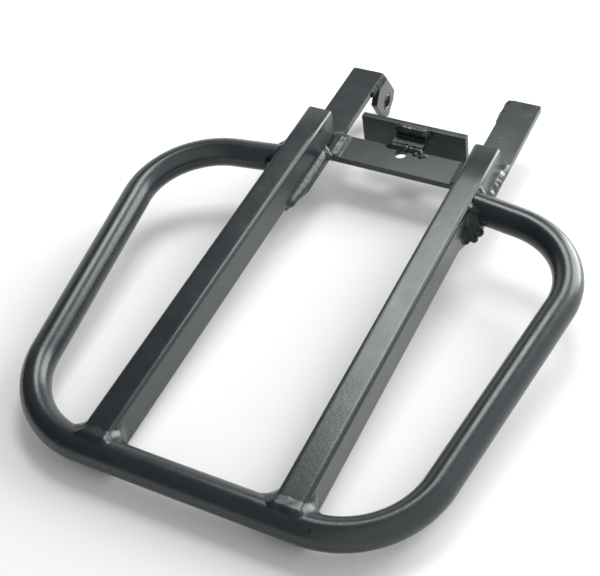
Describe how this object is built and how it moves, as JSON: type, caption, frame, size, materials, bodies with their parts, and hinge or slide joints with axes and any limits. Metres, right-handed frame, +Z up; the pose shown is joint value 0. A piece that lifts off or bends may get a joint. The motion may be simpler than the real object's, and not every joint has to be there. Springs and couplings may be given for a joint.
{
  "type": "folding luggage rack",
  "caption": "Fold-down luggage rack flap: round tube loop, two box rails, flat arms with hinge ears, a crossbar with a buffer hole and an upright stop.",
  "frame": {"origin": "middle of the footprint on the surface that the flap lies on", "axes": "+X to the right as seen from the front bar, +Y from the front bar to the hinge, +Z up; the flap leans 6.2 degrees, resting on the front ends of its rails and its ears"},
  "size_m": [0.261, 0.333, 0.0465],
  "materials": {
    "rack_paint": "semi-gloss charcoal paint",
    "painted_weld": "semi-gloss charcoal paint over a rippled weld bead",
    "pivot_bush": "turned dark steel"
  },
  "bodies": {
    "pivot": {"left_pivot_bush": "pivot_bush", "right_pivot_bush": "pivot_bush"},
    "flap": {"crossbar": "rack_paint", "left_arm": "rack_paint", "left_arm_inner_weld": "painted_weld", "left_arm_outer_weld": "painted_weld", "left_crossbar_weld": "painted_weld", "left_ear": "rack_paint", "left_ear_weld": "painted_weld", "left_loop_end_weld": "painted_weld", "left_rail": "rack_paint", "left_rail_inner_front_weld": "painted_weld", "left_rail_outer_front_weld": "painted_weld", "loop_tube": "rack_paint", "right_arm": "rack_paint", "right_arm_inner_weld": "painted_weld", "right_arm_outer_weld": "painted_weld", "right_crossbar_weld": "painted_weld", "right_ear": "rack_paint", "right_ear_weld": "painted_weld", "right_loop_end_weld": "painted_weld", "right_rail": "rack_paint", "right_rail_inner_front_weld": "painted_weld", "right_rail_outer_front_weld": "painted_weld", "stop_angle": "rack_paint", "stop_angle_left_tack": "painted_weld", "stop_angle_right_tack": "painted_weld", "stop_angle_top_weld": "painted_weld", "stop_plate": "rack_paint"}
  },
  "joints": [
    {"name": "fold", "type": "hinge", "parent": "pivot", "child": "flap", "pos_m": [0, 0.15498, 0.01131], "axis": [-1, 0, 0], "range_deg": [0, 95]}
  ]
}
